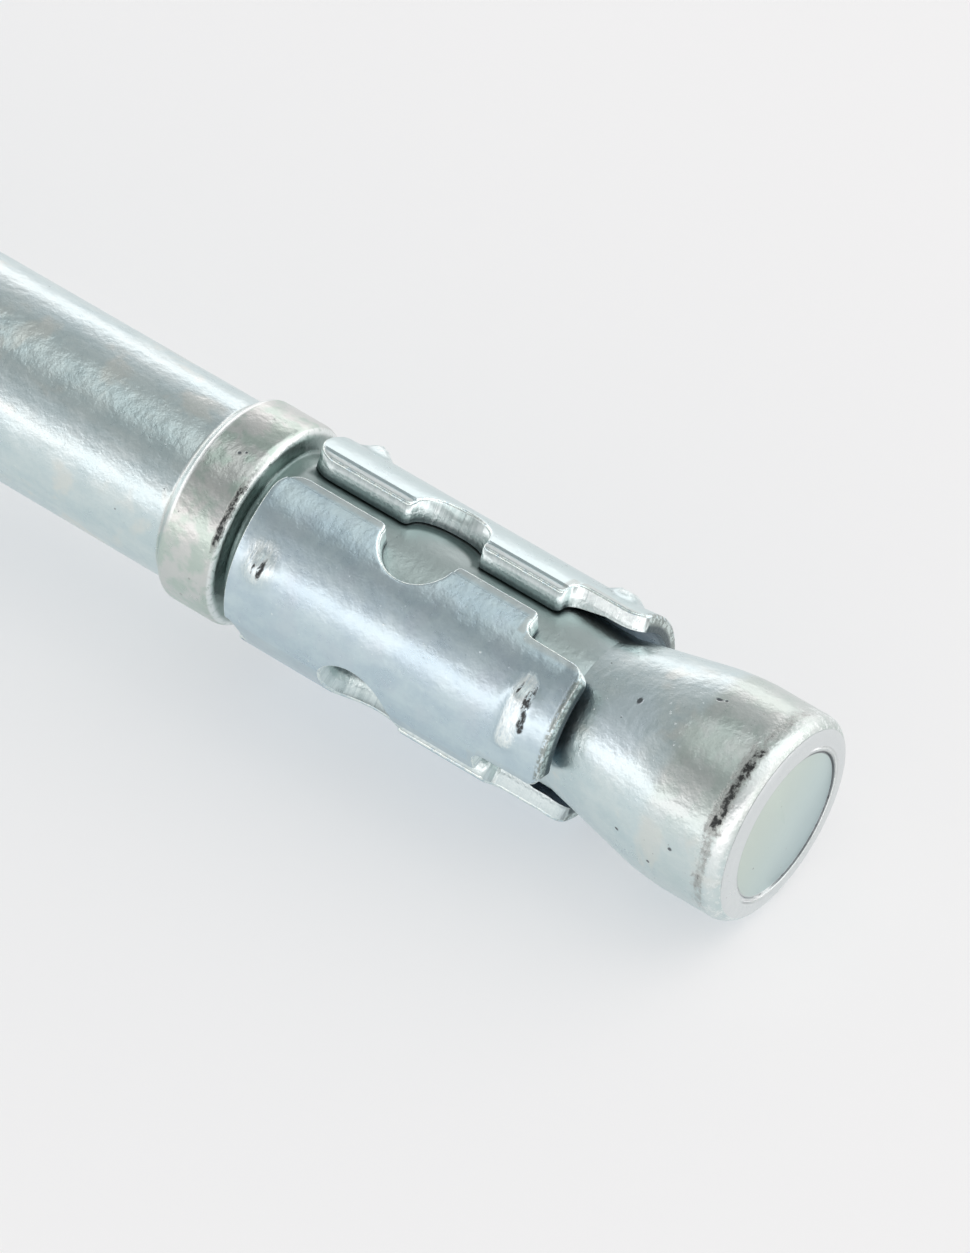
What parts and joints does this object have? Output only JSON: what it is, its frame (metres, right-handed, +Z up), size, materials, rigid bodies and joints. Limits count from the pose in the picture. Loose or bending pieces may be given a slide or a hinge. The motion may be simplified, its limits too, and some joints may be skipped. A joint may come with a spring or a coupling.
{
  "type": "wedge anchor",
  "caption": "Through-fixing wedge anchor lying on its side: bolt with coned end, stamped three-lobed expansion clip, collar, plain shank, threaded end, flat washer and hexagon nut.",
  "frame": {"origin": "centre of the lying anchor's bounding box, at the bottom, on the surface it lies on", "axes": "+X along the lying anchor towards its coned end, +Z up, +Y across; the bolt's own axis rises from the head towards the nut"},
  "size_m": [0.1104, 0.024, 0.0241],
  "materials": {
    "plated_steel": "bright bluish zinc plating, cold-formed, lightly pitted",
    "plated_sheet": "bright bluish zinc plating on smooth rolled sheet, sheared edges"
  },
  "bodies": {
    "anchor": {"anchor_body": "plated_steel"},
    "clip": {"expansion_clip": "plated_sheet"},
    "washer": {"washer": "plated_steel"},
    "nut": {"hex_nut": "plated_steel"}
  },
  "joints": [
    {"name": "clip_turn", "type": "hinge", "parent": "anchor", "child": "clip", "pos_m": [0.03292, 0, 0.00735], "axis": [0.9979, 0, -0.0646], "continuous": true},
    {"name": "washer_slide", "type": "slide", "parent": "anchor", "child": "washer", "axis": [0.9979, 0, -0.0646], "range_m": [0, 0.033]},
    {"name": "nut_turn", "type": "hinge", "parent": "washer", "child": "nut", "pos_m": [-0.04591, 0, 0.01245], "axis": [0.9979, 0, -0.0646], "range_deg": [0, 6840]}
  ],
  "couplings": [
    {"joint": "nut_turn", "follows": "washer_slide", "rad_per_m": 3590.4}
  ]
}
